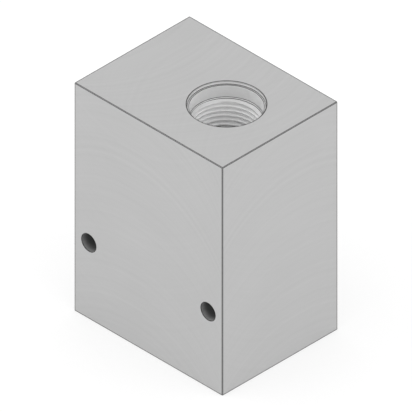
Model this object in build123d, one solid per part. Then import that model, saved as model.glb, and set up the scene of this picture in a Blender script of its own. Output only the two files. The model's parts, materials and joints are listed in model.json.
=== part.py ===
from build123d import *

import os
from math import radians, tan

# A line-mount manifold block for one two-port screw-in cartridge valve, cut from aluminium bar.
# X runs along its length, Y along its width and Z up. The origin is the middle of its bottom face.
# Bores are turned about their own axis from (radius, depth) steps, with depth counted from the face
# that the drill enters. Threads are bored at their major diameter.

inch = 25.4

# Block
block_length = 2.25 * inch
block_width = 1.75 * inch
block_height = 3.0 * inch
edge_break = 0.1  # 45 degree chamfer on every outer edge
rim_break = 0.1  # deburring chamfer on the rims of the holes that have no seat of their own
overcut = 1.0  # how far a cutter stands out of the face that it enters

# Cartridge cavity, in the top face
cavity_to_end = 0.8125 * inch  # its axis to the +X end of the block
cavity_thread_diameter = 20.0  # M20 x 1.5
cavity_thread_pitch = 1.5
cavity_thread_length = 9.11
seal_bore_clearance = 0.29  # seal bore wall outside the thread, so that the thread passes it
seal_bore_length = 3.96
mouth_clearance = 0.53  # counterbore wall outside the seal bore
mouth_depth = 0.93
chamber_length = 13.4  # the ring round the cartridge that the side port opens into
nose_step = 0.525  # nose bore wall inside the chamber wall
nose_lead_angle = 30  # the cone that guides the nose seal, measured from the axis
nose_bore_length = 5.5

# Ports: straight thread with an O-ring seat, one in the bottom face and one in the -X end
port_thread_diameter = 0.75 * inch  # 3/4-16 UNF
port_thread_pitch = inch / 16
port_thread_depth = 14.3
port_tap_drill_depth = 17.5
port_seat_allowance = 0.775  # seat wall outside the thread, where the seat opens
port_seat_depth = 2.5
port_seat_angle = 12  # the seat's cone, measured from the axis
spotface_diameter = 30.0
spotface_depth = 0.5

# Passages between the ports and the cavity
nose_passage_diameter = 0.5 * inch
side_passage_diameter = 0.4375 * inch
drill_point_angle = 118

# Mounting holes, straight through the width
mounting_hole_diameter = 0.21875 * inch
mounting_hole_to_end = 0.21875 * inch  # axis to the nearer end of the block
mounting_hole_height = 1.0 * inch

# Worked out from the sizes above
cavity_x = block_length / 2 - cavity_to_end
cavity_thread_radius = cavity_thread_diameter / 2
seal_bore_radius = cavity_thread_radius + seal_bore_clearance
mouth_radius = seal_bore_radius + mouth_clearance
chamber_radius = cavity_thread_radius - cavity_thread_pitch / 2
nose_radius = chamber_radius - nose_step
nose_passage_radius = nose_passage_diameter / 2
side_passage_radius = side_passage_diameter / 2

seal_bore_end = mouth_depth + seal_bore_length
thread_start = seal_bore_end + seal_bore_clearance
thread_end = thread_start + cavity_thread_length
chamber_start = thread_end + cavity_thread_radius - chamber_radius
chamber_end = thread_end + chamber_length
nose_start = chamber_end + nose_step / tan(radians(nose_lead_angle))
nose_end = nose_start + nose_bore_length
side_port_z = block_height - (thread_end + chamber_end) / 2

port_thread_radius = port_thread_diameter / 2
port_drill_radius = port_thread_radius - port_thread_pitch / 2
port_seat_radius = port_thread_radius + port_seat_allowance
port_seat_end_radius = port_seat_radius - port_seat_depth * tan(radians(port_seat_angle))

mounting_hole_radius = mounting_hole_diameter / 2
mounting_hole_x = block_length / 2 - mounting_hole_to_end


# How far a drill's point runs on below a bore of the first radius, down to the second
def point_run(outer_radius, inner_radius):
    return (outer_radius - inner_radius) / tan(radians(drill_point_angle / 2))


# A cutter turned about Z, with its mouth at z = 0 and its steps running down from there
def turned_cutter(steps):
    first_radius = steps[0][0]
    last_depth = steps[-1][1]
    outline = [(0, overcut), (first_radius, overcut)]
    outline += [(radius, -depth) for radius, depth in steps]
    outline += [(0, -last_depth)]
    half_section = Plane.XZ * make_face(Polyline(*outline, close=True))
    return revolve(half_section, Axis.Z)


def cavity_cutter():
    return turned_cutter(
        [
            (mouth_radius + rim_break, 0),
            (mouth_radius, rim_break),
            (mouth_radius, mouth_depth),
            (seal_bore_radius, mouth_depth),
            (seal_bore_radius, seal_bore_end),
            (cavity_thread_radius, thread_start),
            (cavity_thread_radius, thread_end),
            (chamber_radius, chamber_start),
            (chamber_radius, chamber_end),
            (nose_radius, nose_start),
            (nose_radius, nose_end),
            (nose_passage_radius, nose_end + point_run(nose_radius, nose_passage_radius)),
        ]
    )


def port_cutter(passage_radius, passage_end):
    seat_end = spotface_depth + port_seat_depth
    drill_end = spotface_depth + port_tap_drill_depth
    thread_foot = spotface_depth + port_thread_depth
    return turned_cutter(
        [
            (spotface_diameter / 2, 0),
            (spotface_diameter / 2, spotface_depth),
            (port_seat_radius, spotface_depth),
            (port_seat_end_radius, seat_end),
            (port_thread_radius, seat_end + port_seat_end_radius - port_thread_radius),
            (port_thread_radius, thread_foot),
            (port_drill_radius, thread_foot + port_thread_radius - port_drill_radius),
            (port_drill_radius, drill_end),
            (passage_radius, drill_end + point_run(port_drill_radius, passage_radius)),
            (passage_radius, passage_end),
        ]
    )


def mounting_hole_cutter():
    rim_radius = mounting_hole_radius + rim_break
    return turned_cutter(
        [
            (rim_radius, 0),
            (mounting_hole_radius, rim_break),
            (mounting_hole_radius, block_width - rim_break),
            (rim_radius, block_width),
            (rim_radius, block_width + overcut),
        ]
    )


def manifold_block():
    bar = Pos(0, 0, block_height / 2) * Box(block_length, block_width, block_height)
    body = chamfer(bar.edges(), edge_break)

    top = Plane(origin=(cavity_x, 0, block_height), z_dir=(0, 0, 1))
    bottom = Plane(origin=(cavity_x, 0, 0), z_dir=(0, 0, -1))
    back_end = Plane(origin=(-block_length / 2, 0, side_port_z), z_dir=(-1, 0, 0))

    body -= top * cavity_cutter()
    # The bottom port's passage runs up to the nose bore
    body -= bottom * port_cutter(nose_passage_radius, passage_end=block_height - nose_end)
    # The side port's passage stops on the cavity's axis, inside the chamber
    body -= back_end * port_cutter(side_passage_radius, passage_end=block_length / 2 + cavity_x)

    for x in (-mounting_hole_x, mounting_hole_x):
        front = Plane(origin=(x, -block_width / 2, mounting_hole_height), z_dir=(0, -1, 0))
        body -= front * mounting_hole_cutter()
    return body


os.makedirs("parts", exist_ok=True)
export_step(manifold_block(), "parts/manifold_block.step")
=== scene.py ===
import json
from math import atan, cos, pi, radians, sin, sqrt, tan

import bmesh
import bpy
from mathutils import Matrix, Vector


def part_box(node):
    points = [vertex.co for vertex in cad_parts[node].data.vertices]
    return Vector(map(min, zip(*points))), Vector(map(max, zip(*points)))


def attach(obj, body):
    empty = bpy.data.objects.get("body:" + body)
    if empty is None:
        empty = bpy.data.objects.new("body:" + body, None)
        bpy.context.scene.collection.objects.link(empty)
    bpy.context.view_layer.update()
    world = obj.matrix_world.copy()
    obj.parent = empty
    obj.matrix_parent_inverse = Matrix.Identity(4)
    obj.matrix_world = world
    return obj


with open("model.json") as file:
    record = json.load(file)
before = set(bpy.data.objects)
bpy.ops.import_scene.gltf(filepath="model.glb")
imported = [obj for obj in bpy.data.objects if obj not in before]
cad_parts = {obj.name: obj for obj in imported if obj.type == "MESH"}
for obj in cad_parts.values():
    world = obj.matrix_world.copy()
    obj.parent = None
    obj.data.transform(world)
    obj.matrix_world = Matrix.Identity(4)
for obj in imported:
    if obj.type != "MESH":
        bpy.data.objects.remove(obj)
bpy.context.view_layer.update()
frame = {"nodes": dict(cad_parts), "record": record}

mm = 0.001
blockLow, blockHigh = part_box("manifold_block")
blockSize = blockHigh - blockLow
blockCentre = (blockLow + blockHigh) / 2
mounts = {mount["name"]: mount for mount in frame["record"]["mounts"]}
print("frame loaded, block", [round(side / mm, 2) for side in blockSize], "mm")


# Places and sizes of the round features, from the mounts
def mountRadius(name):
    return mounts[name]["dims"]["r_mm"] * mm


def mountLength(name):
    return mounts[name]["dims"]["length_mm"] * mm


# The upper and lower end of an upright mount, as depths below the top face
def mountDepths(name):
    depth = blockHigh.z - mounts[name]["pos_m"][2]
    half = mountLength(name) / 2
    return depth - half, depth + half


# Node helpers: a number is set on a socket, and another node's output is linked to it
def feed(tree, socket, source):
    if isinstance(source, bpy.types.NodeSocket):
        tree.links.new(source, socket)
    else:
        socket.default_value = source


def place(tree, kind, **settings):
    made = tree.nodes.new(kind)
    for name, value in settings.items():
        setattr(made, name, value)
    return made


def parts(tree, vector):
    made = place(tree, "ShaderNodeSeparateXYZ")
    feed(tree, made.inputs["Vector"], vector)
    return made.outputs["X"], made.outputs["Y"], made.outputs["Z"]


def calc(tree, operation, *sources):
    made = place(tree, "ShaderNodeMath", operation=operation)
    for socket, source in zip(made.inputs, sources):
        feed(tree, socket, source)
    return made.outputs[0]


def greatest(tree, first, *others):
    for other in others:
        first = calc(tree, "MAXIMUM", first, other)
    return first


def square(tree, value):
    return calc(tree, "MULTIPLY", value, value)


def length(tree, first, second):
    return calc(tree, "SQRT", calc(tree, "ADD", square(tree, first), square(tree, second)))


def blend(tree, factor, first, second):
    made = place(tree, "ShaderNodeMix", data_type="FLOAT")
    feed(tree, made.inputs["Factor"], factor)
    feed(tree, made.inputs["A"], first)
    feed(tree, made.inputs["B"], second)
    return made.outputs["Result"]


# Rises softly from 0 at the start to 1 at the end
def fade(tree, value, start, end):
    made = place(tree, "ShaderNodeMapRange", interpolation_type="SMOOTHSTEP")
    feed(tree, made.inputs["Value"], value)
    feed(tree, made.inputs["From Min"], start)
    feed(tree, made.inputs["From Max"], end)
    return made.outputs["Result"]


# Noise about zero, through space or, in 1D, along one value
def noise(tree, source, scale, detail, dimensions="3D"):
    made = place(tree, "ShaderNodeTexNoise", noise_dimensions=dimensions)
    feed(tree, made.inputs["W" if dimensions == "1D" else "Vector"], source)
    feed(tree, made.inputs["Scale"], scale)
    feed(tree, made.inputs["Detail"], detail)
    return calc(tree, "SUBTRACT", made.outputs["Fac"], 0.5)


def newGroup(name, inputs, outputs):
    group = bpy.data.node_groups.new(name, "ShaderNodeTree")
    for label in inputs:
        kind = "NodeSocketVector" if label == "Position" else "NodeSocketFloat"
        group.interface.new_socket(label, in_out="INPUT", socket_type=kind)
    for label in outputs:
        group.interface.new_socket(label, in_out="OUTPUT", socket_type="NodeSocketFloat")
    return group, place(group, "NodeGroupInput").outputs, place(group, "NodeGroupOutput").inputs


# In the names given here an underscore stands for a space in the socket's name
def useGroup(tree, group, **sources):
    made = place(tree, "ShaderNodeGroup", node_tree=group)
    for label, source in sources.items():
        feed(tree, made.inputs[label.replace("_", " ")], source)
    return made.outputs


# Arcs that a face mill leaves: leading ones, and fainter trailing ones across them
millMarks = {"trailingShare": 0.45, "streakScale": 0.31, "streakDetail": 3.0}


def makeMilledGroup(marks):
    group, inp, out = newGroup(
        "Milled Face", ["Along", "Across", "Cutter Radius", "Feed"], ["Height", "Tone"])
    swing = calc(group, "SQRT", calc(
        group, "SUBTRACT", square(group, inp["Cutter Radius"]), square(group, inp["Across"])))
    heights, tones = [], []
    for operation, share in (("SUBTRACT", 1.0), ("ADD", marks["trailingShare"])):
        phase = calc(group, "DIVIDE", calc(group, operation, inp["Along"], swing), inp["Feed"])
        ridge = calc(group, "SINE", calc(group, "MULTIPLY", phase, 2 * pi))
        streak = noise(group, phase, marks["streakScale"], marks["streakDetail"], "1D")
        heights.append(calc(group, "MULTIPLY", ridge, share))
        tones.append(calc(group, "MULTIPLY", streak, share))
    feed(group, out["Height"], calc(group, "ADD", *heights))
    feed(group, out["Tone"], calc(group, "ADD", *tones))
    return group


# Fine rings that a boring bar or reamer leaves, round a wall and across a floor alike
turnMarks = {"streakScale": 0.37, "streakDetail": 3.0}


def makeTurnedGroup(marks):
    group, inp, out = newGroup("Turned Wall", ["Axial", "Radial", "Pitch"], ["Height", "Tone"])
    phase = calc(group, "DIVIDE", calc(group, "ADD", inp["Axial"], inp["Radial"]), inp["Pitch"])
    feed(group, out["Height"], calc(group, "SINE", calc(group, "MULTIPLY", phase, 2 * pi)))
    feed(group, out["Tone"], noise(group, phase, marks["streakScale"], marks["streakDetail"], "1D"))
    return group


# Cloudy difference in tone that handling and coolant leave on bare aluminium, and fine specks
grainMarks = {"cloudScale": 55.0, "cloudDetail": 2.0, "speckScale": 2400.0, "speckDetail": 3.0}


def makeGrainGroup(marks):
    group, inp, out = newGroup("Metal Grain", ["Position"], ["Cloud", "Speck"])
    cloud = noise(group, inp["Position"], marks["cloudScale"], marks["cloudDetail"])
    speck = noise(group, inp["Position"], marks["speckScale"], marks["speckDetail"])
    feed(group, out["Cloud"], cloud)
    feed(group, out["Speck"], speck)
    return group


# A thin dark line where two turned surfaces meet: painted shade at an inner corner, a drawn dark outline at
# an outer edge
solidShare = 0.75  # of the line's width, where it doesn't fade yet


def makeCornerGroup():
    group, inp, out = newGroup(
        "Corner Line", ["Radial", "Depth", "Corner Radial", "Corner Depth", "Width"], ["Mask"])
    across = calc(group, "SUBTRACT", inp["Radial"], inp["Corner Radial"])
    down = calc(group, "SUBTRACT", inp["Depth"], inp["Corner Depth"])
    solidWidth = calc(group, "MULTIPLY", inp["Width"], solidShare)
    gone = fade(group, length(group, across, down), solidWidth, inp["Width"])
    feed(group, out["Mask"], calc(group, "SUBTRACT", 1.0, gone))
    return group


milledGroup = makeMilledGroup(millMarks)
turnedGroup = makeTurnedGroup(turnMarks)
grainGroup = makeGrainGroup(grainMarks)
cornerGroup = makeCornerGroup()


def emptyTree(owner):
    owner.use_nodes = True
    owner.node_tree.nodes.clear()
    return owner.node_tree


def newMetal(name):
    material = bpy.data.materials.new(name)
    tree = emptyTree(material)
    shader = place(tree, "ShaderNodeBsdfPrincipled")
    surface = place(tree, "ShaderNodeOutputMaterial")
    feed(tree, surface.inputs["Surface"], shader.outputs["BSDF"])
    return material, tree, shader


def dressMetal(tree, shader, grey, metallic, roughness, height, markDepth):
    colour = place(tree, "ShaderNodeCombineColor")
    for channel in ("Red", "Green", "Blue"):
        feed(tree, colour.inputs[channel], grey)
    bump = place(tree, "ShaderNodeBump")
    feed(tree, bump.inputs["Distance"], markDepth)
    feed(tree, bump.inputs["Height"], height)
    feed(tree, shader.inputs["Base Color"], colour.outputs["Color"])
    feed(tree, shader.inputs["Metallic"], metallic)
    feed(tree, shader.inputs["Roughness"], roughness)
    feed(tree, shader.inputs["Normal"], bump.outputs["Normal"])


blockFinish = {
    "faceGrey": 0.52,
    "edgeGrey": 0.42,
    "lipGrey": 0.05,  # the dark line on a face beside its edge
    # painted light: a bore's wall is painted far lighter than the faces' metal, to stand in for the light
    # that occlusion takes from it
    "boreGrey": 0.84,
    "ledgeGrey": 0.54,  # painted shade by facing: what looks out of a bore catches more light than its wall, so it is painted darker than the wall
    # painted shade: a mounting hole's wall goes from its mouth grey to a dark grey deeper in
    "holeMouthGrey": 0.46,
    "holeGrey": 0.20,
    # painted shade in the bores' inner corners, and the same dark grey for the outlines at their outer
    # edges
    "cornerGrey": 0.04,
    "faceTone": 0.11,  # how far the mill's arcs vary the grey
    "cloudTone": 0.05,
    "boreTone": 0.05,
    "faceRoughness": 0.40,
    "boreRoughness": 0.45,
    "boreMetallic": 0.4,
    "roughnessTone": 0.10,
    "skin": 0.02 * mm,  # what lies this near an outer plane is an outer face
    "edgeBreak": 0.10 * mm,
    "edgeLip": 0.18 * mm,  # how far an edge's dark line runs on past its chamfer
    "edgeFade": 0.05 * mm,
    "cutterRadius": 40 * mm,
    "cutterOffset": 7 * mm,
    "cutterFeed": 0.45 * mm,
    "borePitch": 0.16 * mm,
    "markDepth": 0.0015 * mm,
    "lineWidth": 0.12 * mm,
    "mouthLineWidth": 0.27 * mm,
    "holeLineWidth": 0.15 * mm,
    "holeShadeDepth": 2.5 * mm,
    "mouthRadius": 10.82 * mm,
    "spotfaceRadius": 15.0 * mm,
    "spotfaceDepth": 0.5 * mm,
    "seatRadius": 10.3 * mm,
    "rimBreak": 0.10 * mm,
}


def makeBlockMetal(look):
    material, tree, shader = newMetal("machinedAluminium")
    texture = place(tree, "ShaderNodeTexCoord").outputs
    x, y, z = parts(tree, texture["Object"])
    outwardX, outwardY, outwardZ = [calc(tree, "ABSOLUTE", part) for part in parts(tree, texture["Normal"])]

    # How far a point lies inside each pair of outer planes
    offCentre = [x, y, calc(tree, "SUBTRACT", z, blockCentre.z)]
    inside = []
    for side, distance in zip(blockSize, offCentre):
        inside.append(calc(tree, "SUBTRACT", side / 2, calc(tree, "ABSOLUTE", distance)))
    onEnd, onSide, onTop = [calc(tree, "LESS_THAN", gap, look["skin"]) for gap in inside]
    onFace = greatest(tree, onEnd, onSide, onTop)

    # On an edge's chamfer the two smallest gaps add up to the chamfer's width
    total = calc(tree, "ADD", calc(tree, "ADD", inside[0], inside[1]), inside[2])
    twoSmallest = calc(tree, "SUBTRACT", total, greatest(tree, *inside))
    lineEnd = look["edgeBreak"] + look["edgeLip"]
    edge = calc(tree, "SUBTRACT", 1.0, fade(tree, twoSmallest, lineEnd, lineEnd + look["edgeFade"]))

    # Outer faces: the mill runs along X over the top and bottom, and up and down the sides
    along = blend(tree, onTop, z, x)
    across = blend(tree, onSide, y, x)
    offset = blend(tree, onSide, -look["cutterOffset"], look["cutterOffset"])
    milled = useGroup(tree, milledGroup, Along=along, Across=calc(tree, "ADD", across, offset),
                      Cutter_Radius=look["cutterRadius"], Feed=look["cutterFeed"])

    # Bores: each has its own axis
    cavityX = mounts["cartridge_thread"]["pos_m"][0]
    sideZ = mounts["side_port_thread"]["pos_m"][2]
    holeX, _, holeZ = mounts["mounting_hole_right"]["pos_m"]
    holeRadius = mountRadius("mounting_hole_right")
    offHoleX = calc(tree, "SUBTRACT", calc(tree, "ABSOLUTE", x), holeX)
    fromCavity = length(tree, calc(tree, "SUBTRACT", x, cavityX), y)
    fromSidePort = length(tree, y, calc(tree, "SUBTRACT", z, sideZ))
    fromHole = length(tree, offHoleX, calc(tree, "SUBTRACT", z, holeZ))
    inHole = calc(tree, "LESS_THAN", fromHole, holeRadius + 2 * look["rimBreak"])  # just past its rim
    nearSide = calc(tree, "LESS_THAN", x, cavityX - look["mouthRadius"] - look["rimBreak"])
    inSidePort = calc(tree, "MULTIPLY", nearSide, calc(tree, "GREATER_THAN", z, blockCentre.z))

    def byBore(upright, sidePort, hole):
        return blend(tree, inHole, blend(tree, inSidePort, upright, sidePort), hole)

    radial = byBore(fromCavity, fromSidePort, fromHole)
    outward = byBore(outwardZ, outwardX, outwardY)
    turned = useGroup(tree, turnedGroup, Axial=byBore(z, x, y), Radial=radial, Pitch=look["borePitch"])

    # Dark lines at the corners of the turned steps, as (radius, depth below the face that the drill
    # enters): painted shade at the inner corners, drawn outlines at the outer edges
    mouthRadius, rimBreak = look["mouthRadius"], look["rimBreak"]
    sealRadius, threadRadius = mountRadius("cartridge_seal_bore"), mountRadius("cartridge_thread")
    sealTop, sealFoot = mountDepths("cartridge_seal_bore")
    threadTop, threadFoot = mountDepths("cartridge_thread")
    cavityCorners = [(mouthRadius, sealTop), (sealRadius, sealTop), (sealRadius, sealFoot),
                     (threadRadius, threadTop), (threadRadius, threadFoot)]
    portCorners = [(look["spotfaceRadius"], 0.0), (look["seatRadius"], look["spotfaceDepth"])]
    holeCorner = (holeRadius + rimBreak / 2, rimBreak / 2)  # the middle of the rim's chamfer
    cavityDepth = calc(tree, "SUBTRACT", blockHigh.z, z)
    portDepth = blend(tree, inSidePort, z, calc(tree, "SUBTRACT", x, blockLow.x))

    def cornerLine(radius, depth, corner, width):
        return useGroup(tree, cornerGroup, Radial=radius, Depth=depth, Corner_Radial=corner[0],
                        Corner_Depth=corner[1], Width=width)["Mask"]

    lines = [cornerLine(fromCavity, cavityDepth, corner, look["lineWidth"]) for corner in cavityCorners]
    lines += [cornerLine(radial, portDepth, corner, look["lineWidth"]) for corner in portCorners]
    lines += [cornerLine(fromHole, inside[1], holeCorner, look["holeLineWidth"])]
    mouthRim = cornerLine(fromCavity, cavityDepth, (mouthRadius + rimBreak, 0.0), look["mouthLineWidth"])
    edge = greatest(tree, edge, mouthRim)

    # Grey, roughness and height, zone by zone
    grain = useGroup(tree, grainGroup, Position=texture["Object"])
    cloud = calc(tree, "MULTIPLY", grain["Cloud"], look["cloudTone"])

    def toned(grey, tone, share):
        marked = calc(tree, "MULTIPLY_ADD", tone, share, 1.0)
        return calc(tree, "MULTIPLY", grey, calc(tree, "ADD", marked, cloud))

    # Painted shade: a mounting hole darkens with depth from either face
    holeShade = fade(tree, inside[1], 0.0, look["holeShadeDepth"])
    holeGrey = blend(tree, holeShade, look["holeMouthGrey"], look["holeGrey"])
    # Painted light and shade in the bores: walls lighter, what looks out of a bore darker, mounting holes
    # darker with depth
    wallGrey = blend(tree, inHole, blend(tree, outward, look["boreGrey"], look["ledgeGrey"]), holeGrey)
    boreGrey = toned(wallGrey, turned["Tone"], look["boreTone"])
    faceGrey = toned(look["faceGrey"], milled["Tone"], look["faceTone"])
    grey = blend(tree, onFace, boreGrey, faceGrey)
    # The corner lines: painted shade at inner corners, dark outlines at outer edges
    grey = blend(tree, greatest(tree, *lines), grey, look["cornerGrey"])
    grey = blend(tree, edge, grey, blend(tree, onFace, look["edgeGrey"], look["lipGrey"]))

    metallic = blend(tree, greatest(tree, onFace, edge, outward), look["boreMetallic"], 1.0)
    plainRoughness = blend(tree, onFace, look["boreRoughness"], look["faceRoughness"])
    tone = blend(tree, onFace, turned["Tone"], milled["Tone"])
    roughness = calc(tree, "MULTIPLY_ADD", tone, look["roughnessTone"], plainRoughness)
    height = blend(tree, onFace, turned["Height"], milled["Height"])
    dressMetal(tree, shader, grey, metallic, roughness, height, look["markDepth"])
    return material


threadFinish = {
    # painted light: the thread is painted far lighter than the faces' metal, and lighter in its roots,
    # where shade falls, than on its crests
    "rootGrey": 0.98,
    "crestGrey": 0.88,
    "mouthShare": 0.62,  # painted shade: the ridges that the mouth chamfer cuts back catch the most light, so they are painted darker
    "tone": 0.06,
    "metallic": 0.25,
    "roughness": 0.45,
    "roughnessTone": 0.10,
    "mouthDepth": 2.2 * mm,
    "pitch": 0.11 * mm,
    "markDepth": 0.001 * mm,
}


def makeThreadMetal(look):
    material, tree, shader = newMetal("cutThreadAluminium")
    crest = place(tree, "ShaderNodeAttribute", attribute_name="crest").outputs["Fac"]
    inward = place(tree, "ShaderNodeAttribute", attribute_name="inward").outputs["Fac"]
    position = place(tree, "ShaderNodeTexCoord").outputs["Object"]
    turned = useGroup(tree, turnedGroup, Axial=inward, Radial=0.0, Pitch=look["pitch"])
    grain = useGroup(tree, grainGroup, Position=position)
    tone = calc(tree, "ADD", turned["Tone"], grain["Cloud"])
    # Painted light and shade: roots lighter than crests, and the ridges near the mouth darker
    mouthFade = fade(tree, inward, 0.0, look["mouthDepth"])
    shade = calc(tree, "MULTIPLY", blend(tree, crest, look["rootGrey"], look["crestGrey"]),
                 blend(tree, mouthFade, look["mouthShare"], 1.0))
    grey = calc(tree, "MULTIPLY", shade, calc(tree, "MULTIPLY_ADD", tone, look["tone"], 1.0))
    roughness = calc(tree, "MULTIPLY_ADD", grain["Speck"], look["roughnessTone"], look["roughness"])
    dressMetal(tree, shader, grey, look["metallic"], roughness, turned["Height"], look["markDepth"])
    return material


blockMetal = makeBlockMetal(blockFinish)
threadMetal = makeThreadMetal(threadFinish)
frame["nodes"]["manifold_block"].material_slots[0].material = blockMetal
print("materials made")


def addToScene(name, data):
    made = bpy.data.objects.new(name, data)
    bpy.context.scene.collection.objects.link(made)
    return made


def meshObject(name, bm, material):
    mesh = bpy.data.meshes.new(name)
    bm.to_mesh(mesh)
    bm.free()
    mesh.materials.append(material)
    return addToScene(name, mesh)


# Thread ridges stand inward from a bore's wall, which is at the thread's major diameter
portPitch = 25.4 / 16 * mm
threadPitches = {
    "cartridge_thread": 1.5 * mm,
    "bottom_port_thread": portPitch,
    "side_port_thread": portPitch,
}
threadShape = {
    "stepsPerTurn": 72,
    "rootShare": 0.4375,  # half the ridge's width at the wall, in pitches
    "heightShare": 0.5,
    "flankAngle": radians(30),
    "sink": 0.03 * mm,  # how far the ridge's root is sunk in the wall
    "sharpAngle": radians(25),
}


def cutThread(name, pitch, shape):
    mount = mounts[name]
    wall = mountRadius(name)
    mouth = mountLength(name) / 2
    height = shape["heightShare"] * pitch
    crest = wall - height
    root = wall + shape["sink"]
    slope = tan(shape["flankAngle"])
    rootHalf = shape["rootShare"] * pitch + shape["sink"] * slope
    crestHalf = shape["rootShare"] * pitch - height * slope

    # The thread runs from its foot, where the drilled bore goes on, up past the mouth chamfer
    foot = -mouth - height + crestHalf
    turns = (mouth + rootHalf - foot) / pitch
    steps = round(turns * shape["stepsPerTurn"])
    bm = bmesh.new()
    section = [(root, -rootHalf), (crest, -crestHalf), (crest, crestHalf), (root, rootHalf)]
    face = bm.faces.new([bm.verts.new((radius, 0, foot + rise)) for radius, rise in section])
    bmesh.ops.spin(bm, geom=[face], cent=(0, 0, 0), axis=(0, 0, 1), angle=turns * 2 * pi,
                   dvec=(0, 0, turns * pitch / steps), steps=steps, use_duplicate=False)

    # The 45 degree chamfer at the mouth cuts the first ridges back
    crestLayer = bm.verts.layers.float.new("crest")
    inwardLayer = bm.verts.layers.float.new("inward")
    for vert in bm.verts:
        radius = Vector(vert.co.xy).length
        least = wall + shape["sink"] / 2 - (mouth - vert.co.z)
        if radius < least:
            vert.co.xy *= least / radius
        vert[crestLayer] = (wall - max(radius, least)) / height
        vert[inwardLayer] = mouth - vert.co.z
    bmesh.ops.recalc_face_normals(bm, faces=bm.faces)
    turnTo = Vector(mount["axis"]).to_track_quat("Z", "Y").to_matrix().to_4x4()
    bm.transform(Matrix.Translation(mount["pos_m"]) @ turnTo)

    piece = meshObject(name, bm, threadMetal)
    piece.data.shade_smooth()
    piece.data.set_sharp_from_angle(angle=shape["sharpAngle"])
    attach(piece, "root")


for threadName, threadPitch in threadPitches.items():
    cutThread(threadName, threadPitch, threadShape)
print("threads cut:", len(threadPitches))


# Floor, light and camera
stageLook = {
    "floorSize": 4.0,
    "floorDrop": 0.02 * mm,  # keeps it clear of the block's bottom face
    "floorGrey": 0.38,  # what lights and shadows act on
    "floorGlow": 0.62,  # with the grey it makes white where nothing shades the floor
    "skyColour": (1, 1, 1, 1),
    "skyStrength": 1.0,
}


def makePaleFloor(look):
    material = bpy.data.materials.new("paleFloor")
    tree = emptyTree(material)
    matt = place(tree, "ShaderNodeBsdfDiffuse")
    feed(tree, matt.inputs["Color"], (look["floorGrey"],) * 3 + (1,))
    path = place(tree, "ShaderNodeLightPath").outputs
    seen = greatest(tree, path["Is Camera Ray"], path["Is Glossy Ray"], path["Is Transmission Ray"])
    glow = place(tree, "ShaderNodeEmission")
    feed(tree, glow.inputs["Strength"], calc(tree, "MULTIPLY", seen, look["floorGlow"]))
    both = place(tree, "ShaderNodeAddShader")
    feed(tree, both.inputs[0], matt.outputs[0])
    feed(tree, both.inputs[1], glow.outputs[0])
    # Seen from below it is clear, so that the block's underside shows
    sided = place(tree, "ShaderNodeMixShader")
    feed(tree, sided.inputs["Fac"], place(tree, "ShaderNodeNewGeometry").outputs["Backfacing"])
    feed(tree, sided.inputs[1], both.outputs[0])
    feed(tree, sided.inputs[2], place(tree, "ShaderNodeBsdfTransparent").outputs[0])
    surface = place(tree, "ShaderNodeOutputMaterial")
    feed(tree, surface.inputs["Surface"], sided.outputs[0])
    return material


def makeFloor(look):
    bm = bmesh.new()
    bmesh.ops.create_grid(bm, x_segments=1, y_segments=1, size=look["floorSize"] / 2)
    bmesh.ops.translate(bm, verts=bm.verts, vec=(0, 0, -look["floorDrop"]))
    meshObject("floor", bm, makePaleFloor(look))


def makeSky(look):
    world = bpy.data.worlds.new("studioSky")
    bpy.context.scene.world = world
    tree = emptyTree(world)
    sky = place(tree, "ShaderNodeBackground")
    feed(tree, sky.inputs["Color"], look["skyColour"])
    feed(tree, sky.inputs["Strength"], look["skyStrength"])
    surface = place(tree, "ShaderNodeOutputWorld")
    feed(tree, surface.inputs["Surface"], sky.outputs[0])


# Puts a lamp or the camera in its place, looking at the block
def aimAtBlock(name, data, position):
    made = addToScene(name, data)
    made.location = position
    made.rotation_euler = (blockCentre - position).to_track_quat("-Z", "Y").to_euler()
    return made


lamps = {
    "keyLamp": {"place": (-0.28, -0.30, 0.42), "size": 0.60, "watts": 0.60},
    "fillLamp": {"place": (0.42, 0.05, 0.36), "size": 0.60, "watts": 0.50},
}


def makeLamp(name, settings):
    light = bpy.data.lights.new(name, "AREA")
    light.shape = "SQUARE"
    light.size = settings["size"]
    light.energy = settings["watts"]
    aimAtBlock(name, light, Vector(settings["place"]))


viewFrom = {
    "azimuth": radians(45),
    "elevation": atan(1 / sqrt(2)),  # a true isometric view
    "distance": 0.6,
    "width": 0.1125,
}


def makeCamera(settings):
    turn, rise = settings["azimuth"], settings["elevation"]
    back = Vector((sin(turn) * cos(rise), -cos(turn) * cos(rise), sin(rise)))
    lens = bpy.data.cameras.new("viewCamera")
    lens.type = "ORTHO"
    lens.ortho_scale = settings["width"]
    bpy.context.scene.camera = aimAtBlock("viewCamera", lens, blockCentre + back * settings["distance"])


makeFloor(stageLook)
makeSky(stageLook)
for lampName, lampSettings in lamps.items():
    makeLamp(lampName, lampSettings)
makeCamera(viewFrom)
bpy.context.scene.view_settings.view_transform = "Standard"
print("stage, lamps and camera placed")
